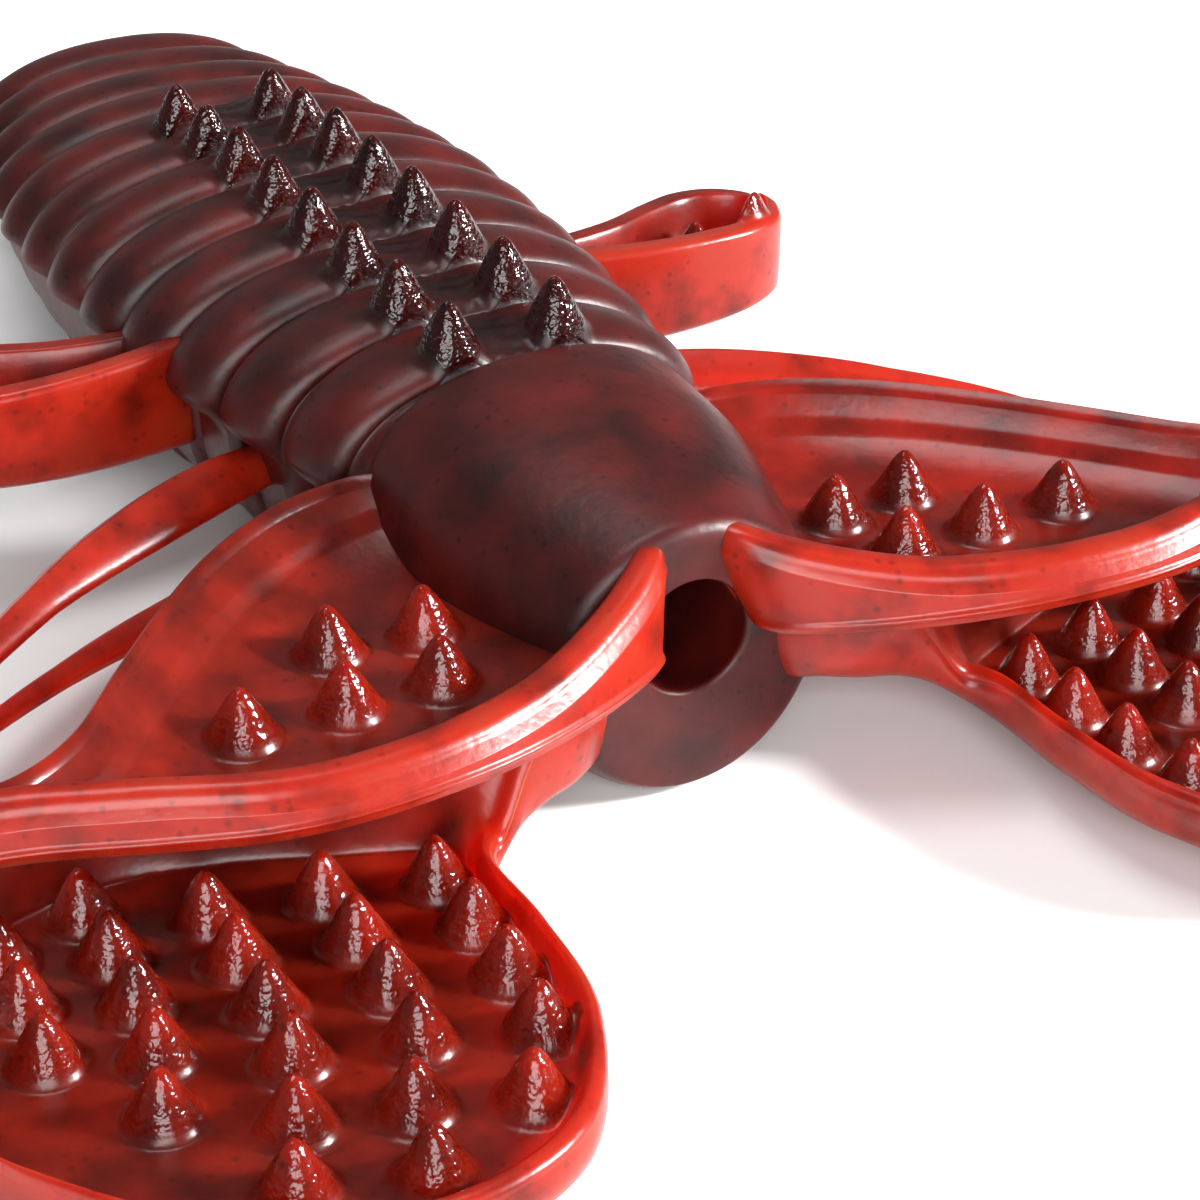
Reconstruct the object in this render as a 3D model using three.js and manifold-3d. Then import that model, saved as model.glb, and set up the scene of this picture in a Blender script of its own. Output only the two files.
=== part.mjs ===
// A soft-plastic crayfish fishing lure, moulded in one piece from translucent red plastisol.
// Millimetres, +Z up. The body lies along Y: the flat face is at the -Y end, the tail at the +Y end.
// The belly rests on Z = 0. X = 0 is the plane of symmetry.
import * as THREE from "three";
import { mergeVertices } from "three/addons/utils/BufferGeometryUtils.js";
import Module from "manifold-3d";

const wasm = await Module();
wasm.setup();

// ---- driving dimensions -------------------------------------------------------------------------
const GAP = 0.3; // clearance between neighbouring pieces
const MID_Y = 23.724; // middle of the length, counted from the flat face

// flat face and its blind pocket
const FACE_R = 4.8;
const FACE_Z = 5.0;
const FACE_ROUND = 0.7; // rounded edge of the face
const FACE_LEN = 6.4;
const POCKET_R = 2.0;
const POCKET_Z = 5.9;
const POCKET_DEPTH = 5.2;

// smooth carapace behind the face
const CARAPACE_END = 12.4;
const CARAPACE_ROUND = 1.1; // length of its rounded rear edge
const CARAPACE_HALF = 6.65;
const CARAPACE_TOP = 11.5;
const CARAPACE_WIDE_Z = 6.2; // height of the widest line
const CARAPACE_SQUARE = 2.4; // superellipse exponent of its upper half

// ribbed body
const RINGS = 12;
const RING_START = 12.7;
const RING_PITCH = 4.08;
const PITCH_RATIO = 0.97; // each ring is this much shorter than the one before
const RING_HALF = 7.94; // half width of the first ring
const HALF_SLOPE = 0.11; // the half width follows 1 + slope n - droop n^2
const HALF_DROOP = 0.0105;
const RING_TOP = 11.5;
const TOP_RISE = 0.09; // each of the first rings is this much higher than the one before
const TOP_FALL = 0.16; // and each one behind them this much lower
const TOP_RINGS = 5;
const RING_WIDE_Z = 6.9;
const RING_SQUARE = 2.2;
const GROOVE = 0.84; // size of the section at the bottom of a groove
const CORE = 0.6; // size of the neck that joins two rings
const NECK = 0.35; // length of that chamfer

// round cones
const CONE_RADIUS = 1.2;
const CONE_RISE = 2.0;
const CONE_SIDES = 7;
const CONE_SINK = 0.5;
const BACK_CONE_X = 2.08;
const BACK_CONE_AHEAD = 0.65; // the cones stand this far in front of the crest
const BACK_CONE_RINGS = 8;

// limbs
const CLAW_BOTTOM = 5.2;
const CLAW_TOP = 8.9;
const CLAW_WEB = 0.9;
const CLAW_RIM = 1.5;
const PAD_BOTTOM = 1.1;
const PAD_TOP = 4.4;
const PAD_WEB = 0.9;
const PAD_RIM = 1.3;
const PAD_PIVOT = [6.6, -1.9];
const PAD_PIVOT_R = 1.4;
const ARM_OUT = 0.35; // the arm roots start this far in front of the face
const FIN_BOTTOM = 4.6;
const FIN_TOP = 8.0;
const FIN_WEB = 0.9;
const FIN_RIM = 1.2;
const FIN_HINGE_X = 11.9;
const FIN_HINGE_Z = 6.2;
const FIN_HINGE_R = 1.3;
const FIN_HINGE_FRONT = 23.5;
const FIN_HINGE_BACK = 26.3;
const LEG_HALF = 1.5;
const LEG_PIVOT_R = 1.15;

// ---- finish -------------------------------------------------------------------------------------
const thick = new THREE.MeshStandardMaterial({ color: 0x3a0a0c, roughness: 0.35, metalness: 0 });
const thin = new THREE.MeshStandardMaterial({ color: 0x9c1712, roughness: 0.3, metalness: 0 });

const lure = new THREE.Group();
const body = new THREE.Group();
body.position.y = -MID_Y;
lure.add(body);

// ---- helpers ------------------------------------------------------------------------------------
// A closed solid for joining and cutting, from any closed geometry.
function solid(geometry) {
  const bare = geometry.index ? geometry.toNonIndexed() : geometry.clone();
  bare.deleteAttribute("normal");
  bare.deleteAttribute("uv");
  const merged = mergeVertices(bare, 1e-4);
  const vertProperties = new Float32Array(merged.attributes.position.array);
  const triVerts = new Uint32Array(merged.index.array);
  return new wasm.Manifold(new wasm.Mesh({ numProp: 3, vertProperties, triVerts }));
}

// The joined solid as a geometry again.
function geometryOf(manifold) {
  const mesh = manifold.getMesh();
  const geometry = new THREE.BufferGeometry();
  const step = mesh.numProp;
  const count = mesh.vertProperties.length / step;
  const position = new Float32Array(count * 3);
  for (let i = 0; i < count; i++) {
    position.set(mesh.vertProperties.slice(i * step, i * step + 3), i * 3);
  }
  geometry.setAttribute("position", new THREE.BufferAttribute(position, 3));
  geometry.setIndex(new THREE.BufferAttribute(new Uint32Array(mesh.triVerts), 1));
  geometry.computeVertexNormals();
  return geometry;
}

function join(geometries) {
  const solids = geometries.map(solid);
  return solids.slice(1).reduce((whole, next) => whole.add(next), solids[0]);
}

function place(name, geometry, material) {
  const mesh = new THREE.Mesh(geometry, material);
  mesh.name = name;
  body.add(mesh);
}

// A skin over a row of closed sections, each the same number of points, with a fan over each end.
function loft(sections) {
  const count = sections[0].length;
  const position = [];
  const index = [];
  const middle = (points) => {
    const sum = points.reduce((a, p) => [a[0] + p[0], a[1] + p[1], a[2] + p[2]], [0, 0, 0]);
    return sum.map((v) => v / count);
  };
  sections.forEach((points) => points.forEach((p) => position.push(...p)));
  for (let s = 0; s < sections.length - 1; s++) {
    for (let i = 0; i < count; i++) {
      const j = (i + 1) % count;
      const a = s * count + i;
      const b = s * count + j;
      index.push(a, b, a + count);
      index.push(b, b + count, a + count);
    }
  }
  const last = (sections.length - 1) * count;
  const front = position.length / 3;
  position.push(...middle(sections[0]));
  position.push(...middle(sections[sections.length - 1]));
  for (let i = 0; i < count; i++) {
    const j = (i + 1) % count;
    index.push(front, j, i);
    index.push(front + 1, last + i, last + j);
  }
  const geometry = new THREE.BufferGeometry();
  geometry.setAttribute("position", new THREE.Float32BufferAttribute(position, 3));
  geometry.setIndex(index);
  return geometry;
}

// The body's cross-section at y: a superellipse over the widest line, a rounded flat belly under it.
const UPPER_STEPS = 12;
const BELLY = [[0.985, 0.6], [0.91, 0.27], [0.79, 0.07], [0.68, 0.0]]; // shares of half width, height
function section(y, half, top, wideZ, square, scale = 1, floor = 0) {
  const points = [];
  for (let i = 0; i <= UPPER_STEPS; i++) {
    const angle = Math.PI * (i / UPPER_STEPS - 0.5);
    const side = Math.sign(Math.sin(angle)) * Math.abs(Math.sin(angle)) ** (2 / square);
    const rise = Math.abs(Math.cos(angle)) ** (2 / square);
    points.push([half * scale * side, y, wideZ + (top - wideZ) * scale * rise]);
  }
  const belly = (sign) => ([x, z]) => [sign * half * scale * x, y, floor + (wideZ - floor) * z];
  points.push(...BELLY.map(belly(1)));
  points.push(...BELLY.map(belly(-1)).reverse());
  return points;
}

function mix(a, b, t) {
  return a + (b - a) * t;
}

// A section part of the way from the round face to the carapace.
function headSection(y) {
  const t = Math.min(1, Math.max(0, y / CARAPACE_END));
  const ease = Math.sin((t * Math.PI) / 2);
  const half = mix(FACE_R, CARAPACE_HALF, ease);
  const top = mix(FACE_Z + FACE_R + 0.2, CARAPACE_TOP, ease);
  const wideZ = mix(FACE_Z, CARAPACE_WIDE_Z, t);
  const square = mix(2, CARAPACE_SQUARE, t);
  return { half, top, wideZ, square };
}

function headRing(y, scale = 1) {
  const s = headSection(y);
  return section(y, s.half, s.top, s.wideZ, s.square, scale);
}

// A small round cone standing on (x, y), from a little under the surface at z.
function cone(x, y, z, radius = CONE_RADIUS, rise = CONE_RISE) {
  const height = rise + CONE_SINK;
  const profile = [
    new THREE.Vector2(0, 0),
    new THREE.Vector2(radius, 0),
    new THREE.Vector2(radius * 0.42, height * 0.66),
    new THREE.Vector2(0, height),
  ];
  const geometry = new THREE.LatheGeometry(profile, CONE_SIDES);
  geometry.rotateX(Math.PI / 2);
  geometry.translate(x, y, z - CONE_SINK);
  return geometry;
}

// ---- head: the flat face with its pocket, and the carapace ---------------------------------------
function faceEnd() {
  const chamfer = (FACE_R - FACE_ROUND) / FACE_R;
  const outer = solid(loft([
    headRing(0, chamfer),
    headRing(FACE_ROUND),
    headRing(FACE_LEN / 2),
    headRing(FACE_LEN),
  ]));
  const pocket = new THREE.CylinderGeometry(POCKET_R, POCKET_R, POCKET_DEPTH + 1, 24);
  pocket.translate(0, POCKET_DEPTH / 2 - 0.5, POCKET_Z);
  return geometryOf(outer.subtract(solid(pocket)));
}
place("face_end", faceEnd(), thick);

function carapace() {
  const start = FACE_LEN + GAP;
  const shoulder = CARAPACE_END - CARAPACE_ROUND;
  const rows = [start, mix(start, shoulder, 0.5), shoulder].map((y) => headRing(y));
  rows.push(headRing(mix(shoulder, CARAPACE_END, 0.75), 0.9));
  rows.push(headRing(CARAPACE_END, 0.75));
  return loft(rows);
}
place("carapace", carapace(), thick);

// ---- ribbed body --------------------------------------------------------------------------------
const ringEdges = [RING_START];
for (let n = 0; n < RINGS; n++) {
  ringEdges.push(ringEdges[n] + RING_PITCH * PITCH_RATIO ** n);
}
const ringHalf = (n) => RING_HALF * (1 + HALF_SLOPE * n - HALF_DROOP * n * n);
const ringTop = (n) => RING_TOP + TOP_RISE * Math.min(n, TOP_RINGS)
  - TOP_FALL * Math.max(0, n - TOP_RINGS);

function ring(n) {
  const y0 = ringEdges[n] + GAP / 2;
  const y1 = ringEdges[n + 1] - GAP / 2;
  const crest = (y0 + y1) / 2;
  const at = (y, scale) => section(y, ringHalf(n), ringTop(n), RING_WIDE_Z, RING_SQUARE, scale);
  const shell = loft([
    at(y0, CORE),
    at(y0 + NECK, GROOVE),
    at(mix(y0, crest, 0.55), 0.97),
    at(crest, 1),
    at(mix(y1, crest, 0.55), 0.97),
    at(y1 - NECK, GROOVE),
    at(y1, CORE),
  ]);
  if (n >= BACK_CONE_RINGS) {
    return shell;
  }
  const across = Math.min(1, BACK_CONE_X / ringHalf(n));
  const drop = (1 - across ** RING_SQUARE) ** (1 / RING_SQUARE);
  const surface = RING_WIDE_Z + (ringTop(n) - RING_WIDE_Z) * drop;
  const cones = [-1, 1].map((side) => cone(side * BACK_CONE_X, crest - BACK_CONE_AHEAD, surface));
  return geometryOf(join([shell, ...cones]));
}
for (let n = 0; n < RINGS; n++) {
  place(`ring_${String(n + 1).padStart(2, "0")}`, ring(n), thick);
}

// The end of the tail: three low ridges that shrink to a rounded tip.
const TAIL_HALF = 6.6;
const TAIL_LENGTH = 10.6;
const TAIL_TOP = [10.4, 7.5]; // at its start and at its tip
const TAIL_WIDE_Z = [6.4, 5];
const TAIL_SQUARE = 2.1;
const TAIL_LIFT = 3; // the belly rises this much over the rear half
const TAIL_STATIONS = [[0, 0.62], [0.03, 0.85], [0.13, 1], [0.24, 0.86], [0.35, 0.93], [0.46, 0.78],
  [0.57, 0.82], [0.7, 0.66], [0.84, 0.5], [0.95, 0.28], [1, 0.1]]; // share of length, size
function tailTip() {
  const start = ringEdges[RINGS] + GAP / 2;
  return loft(TAIL_STATIONS.map(([t, scale]) => {
    const floor = TAIL_LIFT * (2 * Math.max(0, t - 0.5)) ** 2;
    const top = mix(...TAIL_TOP, t);
    const wideZ = mix(...TAIL_WIDE_Z, t);
    return section(start + TAIL_LENGTH * t, TAIL_HALF, top, wideZ, TAIL_SQUARE, scale, floor);
  }));
}
place("tail_tip", tailTip(), thick);

// ---- limbs --------------------------------------------------------------------------------------
// Points along a smooth closed outline.
function outline(controls, count) {
  const points = controls.map(([x, y]) => new THREE.Vector3(x, y, 0));
  const curve = new THREE.CatmullRomCurve3(points, true, "centripetal");
  return curve.getSpacedPoints(count).slice(0, count).map((p) => new THREE.Vector2(p.x, p.y));
}

// The same outline moved inwards by distance, without the points that would cross over at a sharp end.
const CROSSOVER = 0.96; // a kept point is at least this share of distance from the whole outline
function inset(points, distance) {
  const count = points.length;
  const turn = Math.sign(THREE.ShapeUtils.area(points));
  const moved = points.map((p, i) => {
    const before = points[(i + count - 1) % count];
    const after = points[(i + 1) % count];
    const along = after.clone().sub(before).normalize();
    return new THREE.Vector2(p.x - turn * along.y * distance, p.y + turn * along.x * distance);
  });
  const clear = (p) => points.every((q) => p.distanceTo(q) > CROSSOVER * distance);
  return moved.filter(clear);
}

function slab(points, bottom, top) {
  const shape = new THREE.Shape(points);
  const geometry = new THREE.ExtrudeGeometry(shape, { depth: top - bottom, bevelEnabled: false });
  geometry.translate(0, 0, bottom);
  return geometry;
}

// A short fixed root with flat sides, drawn in plan.
function stub(controls, bottom, top) {
  const corners = controls.map(([x, y]) => new THREE.Vector2(x, y));
  return geometryOf(solid(slab(corners, bottom, top)));
}

// A cup: a thin web inside a raised rim, with cones standing on the web. The rim is left out inside the
// outline called open, if there is one.
function cup(controls, count, bottom, top, web, rim, cones, open = []) {
  const edge = outline(controls, count);
  let hollow = solid(slab(inset(edge, rim), bottom + web, top + 1));
  if (open.length > 0) {
    const corners = open.map(([x, y]) => new THREE.Vector2(x, y));
    hollow = hollow.add(solid(slab(corners, bottom + web, top + 1)));
  }
  const tray = solid(slab(edge, bottom, top)).subtract(hollow);
  const standing = cones.map(([x, y]) => cone(x, y, bottom + web));
  return standing.map(solid).reduce((whole, next) => whole.add(next), tray);
}

// A round bar between two points of the plan, at height z: the root that a limb flexes about.
function bar(from, to, z, radius) {
  const dx = to[0] - from[0];
  const dy = to[1] - from[1];
  const geometry = new THREE.CylinderGeometry(radius, radius, Math.hypot(dx, dy), 12);
  geometry.rotateZ(-Math.atan2(dx, dy));
  geometry.translate((from[0] + to[0]) / 2, (from[1] + to[1]) / 2, z);
  return geometry;
}

function mirrored(geometry) {
  const copy = geometry.clone();
  copy.scale(-1, 1, 1);
  const index = copy.index.array;
  for (let i = 0; i < index.length; i += 3) {
    [index[i + 1], index[i + 2]] = [index[i + 2], index[i + 1]];
  }
  copy.computeVertexNormals();
  return copy;
}

// Both copies of a limb that is drawn on the +X side.
function pair(name, geometry, material) {
  place(`${name}_right`, geometry, material);
  place(`${name}_left`, mirrored(geometry), material);
}

// Upper claws: broad leaves that open from the side of the carapace. The inner side has no rim: the
// web runs up to the carapace there, and flexes about that line.
const CLAW_EDGE = [[5.55, -2.0], [5.8, -3.3], [7.8, -4.5], [10.2, -5.4], [13, -5.9], [16.2, -5.7],
  [19, -4.8], [22, -3.5], [25, -2.6], [25.9, -1.6], [24.2, -0.8], [21.4, -0.2], [18.6, 2.2],
  [15.6, 5.3], [12.4, 8.2], [9.6, 10.4], [7.8, 11.2], [7.3, 10.2], [6.75, 7], [6.2, 3.8], [5.55, 0.8]];
const CLAW_OPEN = [[5, -1.9], [8.4, -1.9], [9.6, 8.4], [7.0, 10.0], [5, 10.0]];
const CLAW_CONES = [[10.85, 4.23], [7.95, 3.8], [11.76, 0.81], [8.58, 0.76], [15.11, 0.91]];
const claw = cup(CLAW_EDGE, 60, CLAW_BOTTOM, CLAW_TOP, CLAW_WEB, CLAW_RIM, CLAW_CONES, CLAW_OPEN);
pair("claw", geometryOf(claw), thin);

// Fixed roots of the claws: stubs that stand on the upper corners of the face.
const CLAW_STUB = [[1.4, -ARM_OUT], [4.9, -ARM_OUT], [5.2, -1.4], [5.0, -2.9], [3.4, -2.2], [1.9, -1.2]];
const CLAW_STUB_BOTTOM = 6.1;
const CLAW_STUB_TOP = 9.1;
pair("claw_root", stub(CLAW_STUB, CLAW_STUB_BOTTOM, CLAW_STUB_TOP), thin);

// Lower paddles: wide fans close to the ground, in front of the claws.
const PAD_EDGE = [[7.3, -2.6], [9, -4.8], [9.5, -8.5], [9.9, -12.5], [12.3, -16.4], [17.5, -17.6],
  [23, -15], [26.8, -9.5], [27.8, -3], [25.4, 2], [20.5, 3.6], [14.5, 1.6], [9.5, -0.2], [7.4, -0.9]];
const PAD_CONES = [[10.9, -3.3], [10.9, -5.8], [11, -8.4], [11.4, -11.1], [12.9, -13.7], [14.2, -2.3],
  [14.2, -4.8], [14.3, -7.3], [14.6, -9.9], [15.9, -12.5], [17.6, -1.6], [17.6, -4], [17.7, -6.5],
  [18, -9], [19, -11.6], [20.8, 0.4], [20.8, -2], [20.9, -4.5], [21.2, -7], [22, -9.5], [23.7, -0.6],
  [23.8, -3.1], [24, -5.7], [16.6, -15.2], [20, -14]];
const padCup = cup(PAD_EDGE, 44, PAD_BOTTOM, PAD_TOP, PAD_WEB, PAD_RIM, PAD_CONES);
const pivotDrum = new THREE.CylinderGeometry(PAD_PIVOT_R, PAD_PIVOT_R, PAD_TOP - PAD_BOTTOM, 14);
pivotDrum.rotateX(Math.PI / 2);
pivotDrum.translate(PAD_PIVOT[0], PAD_PIVOT[1], (PAD_TOP + PAD_BOTTOM) / 2);
pair("paddle", geometryOf(padCup.add(solid(pivotDrum))), thin);

// Fixed roots of the paddles: stubs under the claw roots.
const PAD_STUB = [[2.4, -ARM_OUT], [4.4, -ARM_OUT], [4.85, -1.2], [4.85, -2.6], [3.6, -2.2]];
const PAD_STUB_BOTTOM = 2.2;
const PAD_STUB_TOP = 5.4;
pair("paddle_root", stub(PAD_STUB, PAD_STUB_BOTTOM, PAD_STUB_TOP), thin);

// Rear fins: short rounded cups on the fourth ring.
const FIN_EDGE = [[12, 23.6], [14.5, 23.1], [17.5, 23.6], [19.6, 25.6], [19.3, 28.4], [16.6, 29.6],
  [13.8, 28.4], [12, 26.4]];
const FIN_CONES = [[15, 26], [17.2, 27]];
const finCup = cup(FIN_EDGE, 28, FIN_BOTTOM, FIN_TOP, FIN_WEB, FIN_RIM, FIN_CONES);
const finRoot = bar([FIN_HINGE_X, FIN_HINGE_FRONT], [FIN_HINGE_X, FIN_HINGE_BACK], FIN_HINGE_Z, FIN_HINGE_R);
pair("rear_fin", geometryOf(finCup.add(solid(finRoot))), thin);

// Legs: pointed leaves that sweep forwards, two on each side.
const LEG_STATIONS = [[0, 0.75], [0.25, 1], [0.5, 0.86], [0.75, 0.52], [0.94, 0.16]]; // share, width
function leg({ root, tip, bottom, top }) {
  const along = new THREE.Vector2(tip[0] - root[0], tip[1] - root[1]);
  const across = new THREE.Vector2(-along.y, along.x).normalize();
  const point = ([t, width], side) => {
    const x = root[0] + along.x * t + across.x * width * side * LEG_HALF;
    const y = root[1] + along.y * t + across.y * width * side * LEG_HALF;
    return new THREE.Vector2(x, y);
  };
  const out = LEG_STATIONS.map((s) => point(s, -1));
  const back = LEG_STATIONS.map((s) => point(s, 1)).reverse();
  const blade = slab([...out, new THREE.Vector2(...tip), ...back], bottom, top);
  const drum = new THREE.CylinderGeometry(LEG_PIVOT_R, LEG_PIVOT_R, top - bottom, 12);
  drum.rotateX(Math.PI / 2);
  drum.translate(root[0], root[1], (top + bottom) / 2);
  return geometryOf(join([blade, drum]));
}
const FRONT_LEG = { root: [9.7, 14.1], tip: [22.8, 8.6], bottom: 3.2, top: 4.4 };
const REAR_LEG = { root: [10.4, 17.9], tip: [22.6, 10.2], bottom: 4.6, top: 6.0 };
pair("front_leg", leg(FRONT_LEG), thin);
pair("rear_leg", leg(REAR_LEG), thin);

export default lure;
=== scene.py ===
"""A soft crayfish lure, moulded in one piece from translucent red plastisol, lying on a white table.

Lengths inside each section are millimetres, with y counted from the flat face towards the tail, and
are turned into the metres of the frame where the mesh is made.
"""

import math

import bpy
import numpy as np
from mathutils import Matrix, Vector


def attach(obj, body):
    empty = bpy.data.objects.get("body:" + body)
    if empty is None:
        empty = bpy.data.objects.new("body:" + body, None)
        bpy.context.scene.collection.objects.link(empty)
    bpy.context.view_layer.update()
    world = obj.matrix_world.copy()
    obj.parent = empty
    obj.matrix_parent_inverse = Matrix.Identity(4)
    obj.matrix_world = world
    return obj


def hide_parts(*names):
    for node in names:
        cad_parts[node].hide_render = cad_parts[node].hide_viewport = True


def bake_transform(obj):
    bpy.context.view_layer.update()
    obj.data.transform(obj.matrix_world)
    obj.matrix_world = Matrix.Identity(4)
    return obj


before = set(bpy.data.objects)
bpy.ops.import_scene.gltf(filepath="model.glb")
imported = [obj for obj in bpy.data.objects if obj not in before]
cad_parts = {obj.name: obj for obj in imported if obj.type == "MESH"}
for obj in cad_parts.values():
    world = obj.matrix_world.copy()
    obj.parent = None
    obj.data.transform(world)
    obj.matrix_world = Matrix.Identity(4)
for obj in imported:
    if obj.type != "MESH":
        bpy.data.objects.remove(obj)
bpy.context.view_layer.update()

# ---- The white table ----------------------------------------------------------------------------
# A matt white sheet that the lure lies on. It has the faintest grain of paper, and runs far past the
# lure so that it meets the white surroundings without a line.
TABLE_REACH = 0.35  # metres each way


def paper_white():
    """White paper: a soft noise moves the tone by less than a hundredth."""
    material = bpy.data.materials.new("paper white")
    material.use_nodes = True
    tree = material.node_tree
    nodes, links = tree.nodes, tree.links
    shader = nodes["Principled BSDF"]
    place = nodes.new("ShaderNodeTexCoord")
    grain = nodes.new("ShaderNodeTexNoise")
    grain.inputs["Scale"].default_value = 900.0
    tone = nodes.new("ShaderNodeValToRGB")
    tone.color_ramp.elements[0].color = (0.93, 0.93, 0.93, 1.0)
    tone.color_ramp.elements[1].color = (0.95, 0.95, 0.95, 1.0)
    links.new(place.outputs["Object"], grain.inputs["Vector"])
    links.new(grain.outputs["Fac"], tone.inputs["Fac"])
    links.new(tone.outputs["Color"], shader.inputs["Base Color"])
    shader.inputs["Roughness"].default_value = 0.9
    shader.inputs["Specular IOR Level"].default_value = 0.0
    return material


def table_top():
    """One flat square at the height of the belly."""
    corners = [(-1, -1), (1, -1), (1, 1), (-1, 1)]
    points = [(x * TABLE_REACH, y * TABLE_REACH, -0.00005) for x, y in corners]
    mesh = bpy.data.meshes.new("table_top")
    mesh.from_pydata(points, [], [(0, 1, 2, 3)])
    table = bpy.data.objects.new("table_top", mesh)
    bpy.context.scene.collection.objects.link(table)
    mesh.materials.append(paper_white())
    return table


table_top()

# ---- Light --------------------------------------------------------------------------------------
# A white tent all round. A long soft box above the lure puts the pale sheen on the ribs, a
# small one on the right makes the glints on the cones, and a wide weak one in front lights the rims.
TENT_TOP = 0.20
TENT_SIDE = 0.32
SOFT_BOXES = [
    # name, place, what it faces (metres), width, height, watts
    ("soft box above", (-0.02, 0.05, 0.52), (0.0, 0.0, 0.005), 0.30, 0.12, 1.05),
    ("soft box right", (0.36, -0.26, 0.21), (0.0, -0.01, 0.005), 0.10, 0.09, 6.0),
    ("soft box in front", (-0.20, -0.48, 0.24), (0.0, -0.01, 0.005), 0.36, 0.26, 2.9),
]


def tent():
    """The tent as a world light. The camera sees plain white; everything else sees a wall
    whose tone runs from the horizon to the top as the height of the direction."""
    world = bpy.data.worlds.new("white tent")
    world.use_nodes = True
    nodes, links = world.node_tree.nodes, world.node_tree.links
    background = nodes["Background"]
    background.inputs["Color"].default_value = (1.0, 1.0, 1.0, 1.0)
    direction = nodes.new("ShaderNodeTexCoord")
    parts = nodes.new("ShaderNodeSeparateXYZ")
    wall = nodes.new("ShaderNodeMapRange")
    wall.inputs["From Min"].default_value = 0.1
    wall.inputs["From Max"].default_value = 0.9
    wall.inputs["To Min"].default_value = TENT_SIDE
    wall.inputs["To Max"].default_value = TENT_TOP
    path = nodes.new("ShaderNodeLightPath")
    seen = nodes.new("ShaderNodeMix")
    seen.inputs["B"].default_value = 1.0
    links.new(direction.outputs["Generated"], parts.inputs["Vector"])
    links.new(parts.outputs["Z"], wall.inputs["Value"])
    links.new(path.outputs["Is Camera Ray"], seen.inputs["Factor"])
    links.new(wall.outputs["Result"], seen.inputs["A"])
    links.new(seen.outputs["Result"], background.inputs["Strength"])
    bpy.context.scene.world = world
    bpy.context.scene.view_settings.view_transform = "Standard"


def soft_box(name, place, target, width, height, power):
    """A rectangular lamp at place, facing target."""
    data = bpy.data.lights.new(name, "AREA")
    data.shape = "RECTANGLE"
    data.size, data.size_y = width, height
    data.energy = power
    lamp = bpy.data.objects.new(name, data)
    lamp.location = place
    lamp.rotation_euler = (Vector(target) - Vector(place)).to_track_quat("-Z", "Y").to_euler()
    bpy.context.scene.collection.objects.link(lamp)


tent()
for box in SOFT_BOXES:
    soft_box(*box)

# ---- Camera -------------------------------------------------------------------------------------
# Close to the face, high on its left, with a short telephoto lens. Everything is in focus.
AIM = (-2.19, -21.46, 6.75)  # millimetres, where the lens points
AZIMUTH = -27.91
ELEVATION = 29.35
ROLL = -1.03
STAND_OFF = 90.0
LENS = 83.71


def camera():
    """Looks at AIM from STAND_OFF away; azimuth 0 looks along +Y, and roll turns the picture."""
    azimuth, elevation, roll = (math.radians(v) for v in (AZIMUTH, ELEVATION, ROLL))
    flat = math.cos(elevation)
    back = Vector((math.sin(azimuth) * flat, -math.cos(azimuth) * flat, math.sin(elevation)))
    right = Vector((math.cos(azimuth), math.sin(azimuth), 0.0))
    up = back.cross(right)
    across = right * math.cos(roll) + up * math.sin(roll)
    upright = up * math.cos(roll) - right * math.sin(roll)
    turned = Matrix((across, upright, back)).transposed().to_4x4()
    turned.translation = (Vector(AIM) + back * STAND_OFF) * 0.001
    data = bpy.data.cameras.new("camera")
    data.sensor_width = 36.0
    data.lens = LENS
    data.clip_start, data.clip_end = 0.005, 20.0
    data.dof.use_dof = False
    eye = bpy.data.objects.new("camera", data)
    eye.matrix_world = turned
    bpy.context.scene.collection.objects.link(eye)
    bpy.context.scene.camera = eye


camera()

# ---- Head ---------------------------------------------------------------------------------------
# The blunt front of the moulding: a flat round face with a blind round pocket in it, for a rattle,
# and behind it a smooth domed carapace. It is the thickest part, so that it looks almost black.
FACE_BACK = 23.724  # the flat face is this far in front of the middle of the length
FACE_RADIUS = 4.8
FACE_MIDDLE = 5.0  # height of its middle
FACE_EDGE = 0.55  # rounding of its edge
POCKET_RADIUS = 1.98
POCKET_MIDDLE = 5.86
POCKET_DEPTH = 5.2
POCKET_LIP = 0.22
DOME_END = 11.95
DOME_HALF = 6.6
DOME_TOP = 11.5
DOME_WIDEST = 6.3  # height of its widest line
DOME_SQUARE = 2.42  # superellipse exponent over the widest line
BELLY_SQUARE = 2.7  # and under it
AROUND = 320  # points round the body
WEB_SHADE_MARK = 0.35  # tooth_and_shade mark of a web, painted shade that shows it a deeper red than a rim


def between(a, b, t):
    """Straight from a to b as t goes from 0 to 1."""
    return a + (b - a) * t


def ease(t):
    """Smooth step: 0 up to 0, 3t^2 - 2t^3 on the way, 1 from 1."""
    t = np.clip(t, 0.0, 1.0)
    return t * t * (3.0 - 2.0 * t)


def section(angle, half, top, widest, square, belly_square, floor):
    """A body section: a superellipse over the widest line and a flatter one under it. Each is
    x = half |cos|^(2/n), z = widest + height |sin|^(2/n), with the signs of the cosine and sine."""
    c, s = np.cos(angle), np.sin(angle)
    power = np.where(s > 0, 2.0 / square, 2.0 / belly_square)
    x = half * np.sign(c) * np.abs(c) ** power
    rise = np.where(s > 0, top - widest, widest - floor)
    z = widest + rise * np.sign(s) * np.abs(s) ** power
    return x, z


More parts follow.
